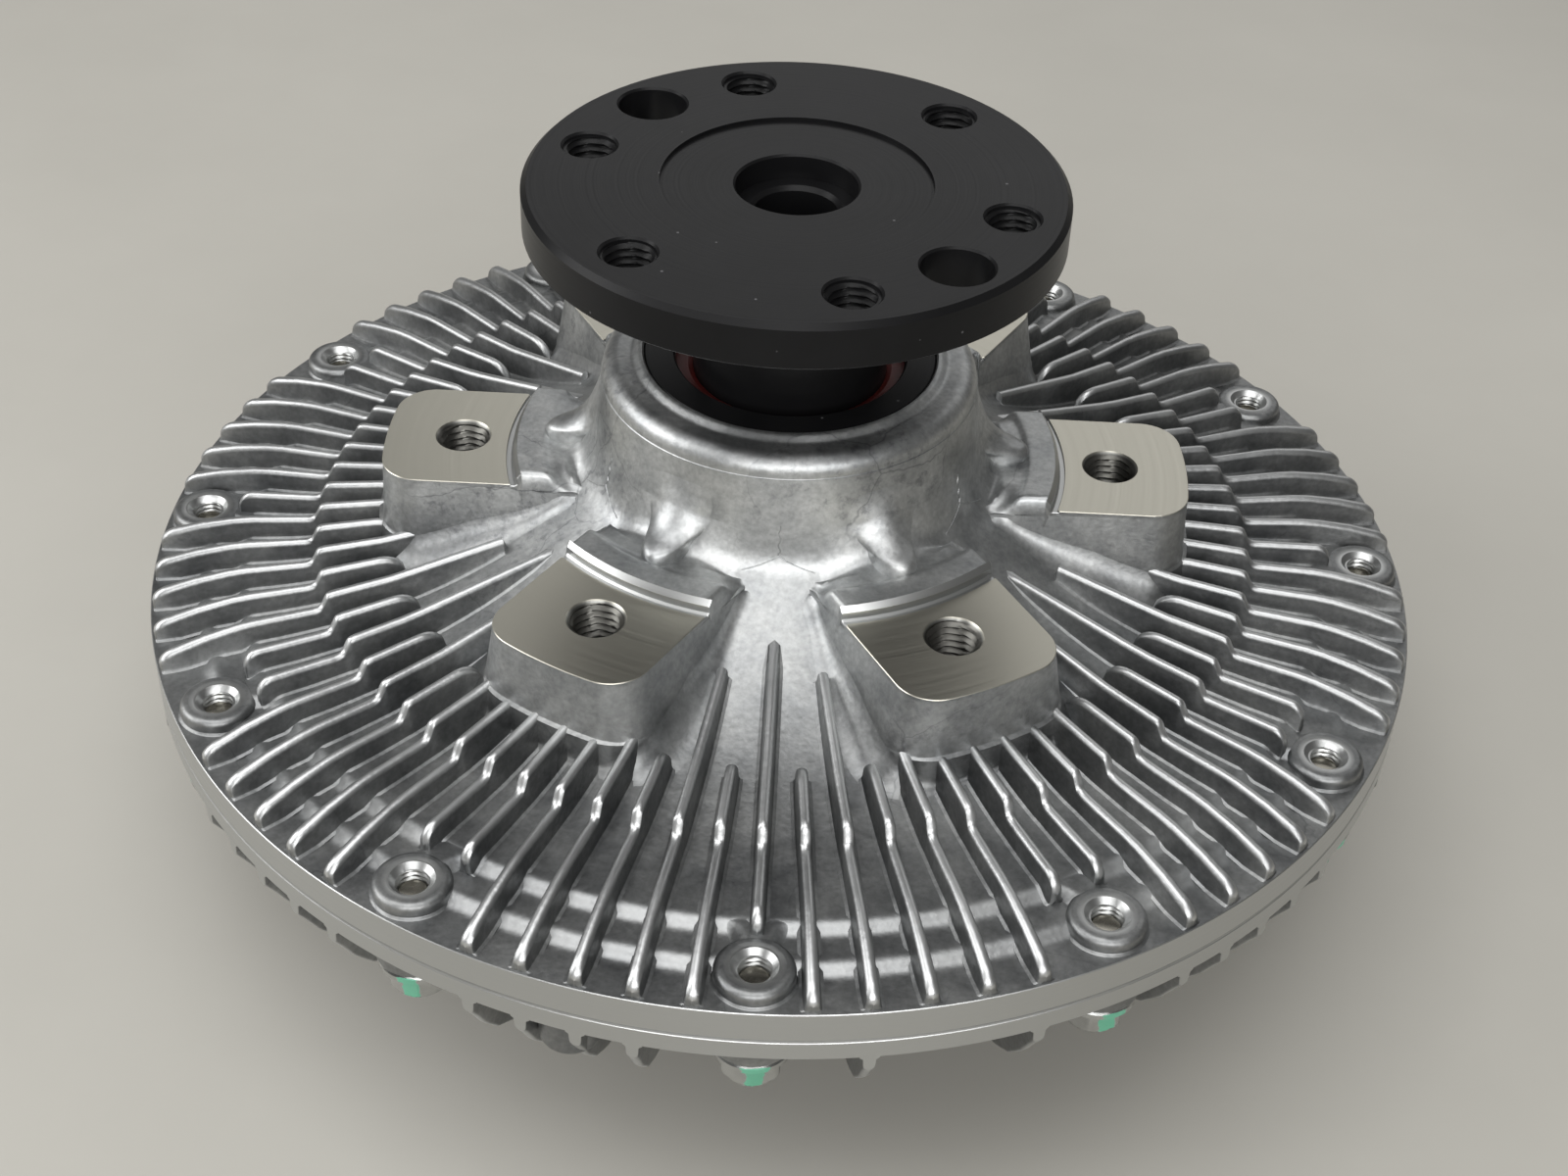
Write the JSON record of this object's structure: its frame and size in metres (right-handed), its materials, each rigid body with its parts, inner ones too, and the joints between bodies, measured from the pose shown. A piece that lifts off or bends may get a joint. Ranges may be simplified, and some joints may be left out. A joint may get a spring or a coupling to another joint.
{
  "type": "viscous fan clutch",
  "caption": "Finned round aluminium fan clutch with a bolted cover, pads that carry a fan on the hub side, and a black drive flange on a shaft that turns inside it through a shearing fluid.",
  "frame": {"origin": "on the shaft's axis, in the plane of the cover fins' feet on which the clutch stands", "axes": "+Z along the shaft's axis, from the front cover to the drive flange; +X through the middle of a fan pad and a rim bolt"},
  "size_m": [0.25, 0.25, 0.1402],
  "materials": {
    "cast_aluminium": "as cast, with machined pads and rim",
    "turned_aluminium": "turned",
    "black_steel": "turned and black oxide",
    "zinc_steel": "zinc plated",
    "bearing_steel": "ground",
    "spring_steel": "phosphated",
    "sheet_steel": "bright",
    "bronze": "turned",
    "bimetal": "rolled strip",
    "black_rubber": "moulded",
    "red_rubber": "moulded"
  },
  "bodies": {
    "housing": {"housing": "cast_aluminium", "cover": "cast_aluminium", "cover_bolts": "zinc_steel", "cover_seal": "black_rubber", "dust_ring": "black_steel", "lip_seal": "red_rubber", "bearing_outer_ring": "bearing_steel", "bearing_shields": "black_rubber", "bearing_circlip": "spring_steel", "partition_plate": "sheet_steel", "plate_screws": "zinc_steel", "valve_bush": "bronze", "coil_bracket": "sheet_steel", "bracket_screws": "zinc_steel"},
    "shaft": {"drive_shaft": "black_steel", "bearing_inner_ring": "bearing_steel", "rotor": "turned_aluminium", "rotor_ring": "spring_steel"},
    "cage": {"bearing_cage": "bronze", "bearing_balls": "bearing_steel"},
    "valve": {"valve_shaft": "sheet_steel", "valve_arm": "sheet_steel", "valve_o_ring": "black_rubber", "bimetal_coil": "bimetal"}
  },
  "joints": [
    {"name": "shaft_spin", "type": "hinge", "parent": "housing", "child": "shaft", "pos_m": [0, 0, 0.0864], "axis": [0, 0, 1], "continuous": true},
    {"name": "cage_spin", "type": "hinge", "parent": "housing", "child": "cage", "pos_m": [0, 0, 0.0864], "axis": [0, 0, 1], "continuous": true},
    {"name": "valve_turn", "type": "hinge", "parent": "housing", "child": "valve", "pos_m": [0, 0, 0.0224], "axis": [0, 0, 1], "range_deg": [0, 50], "stiffness_Nm_per_rad": 0.05, "deforming": ["bimetal_coil"]}
  ],
  "couplings": [
    {"joint": "cage_spin", "follows": "shaft_spin", "ratio": 0.4076}
  ]
}
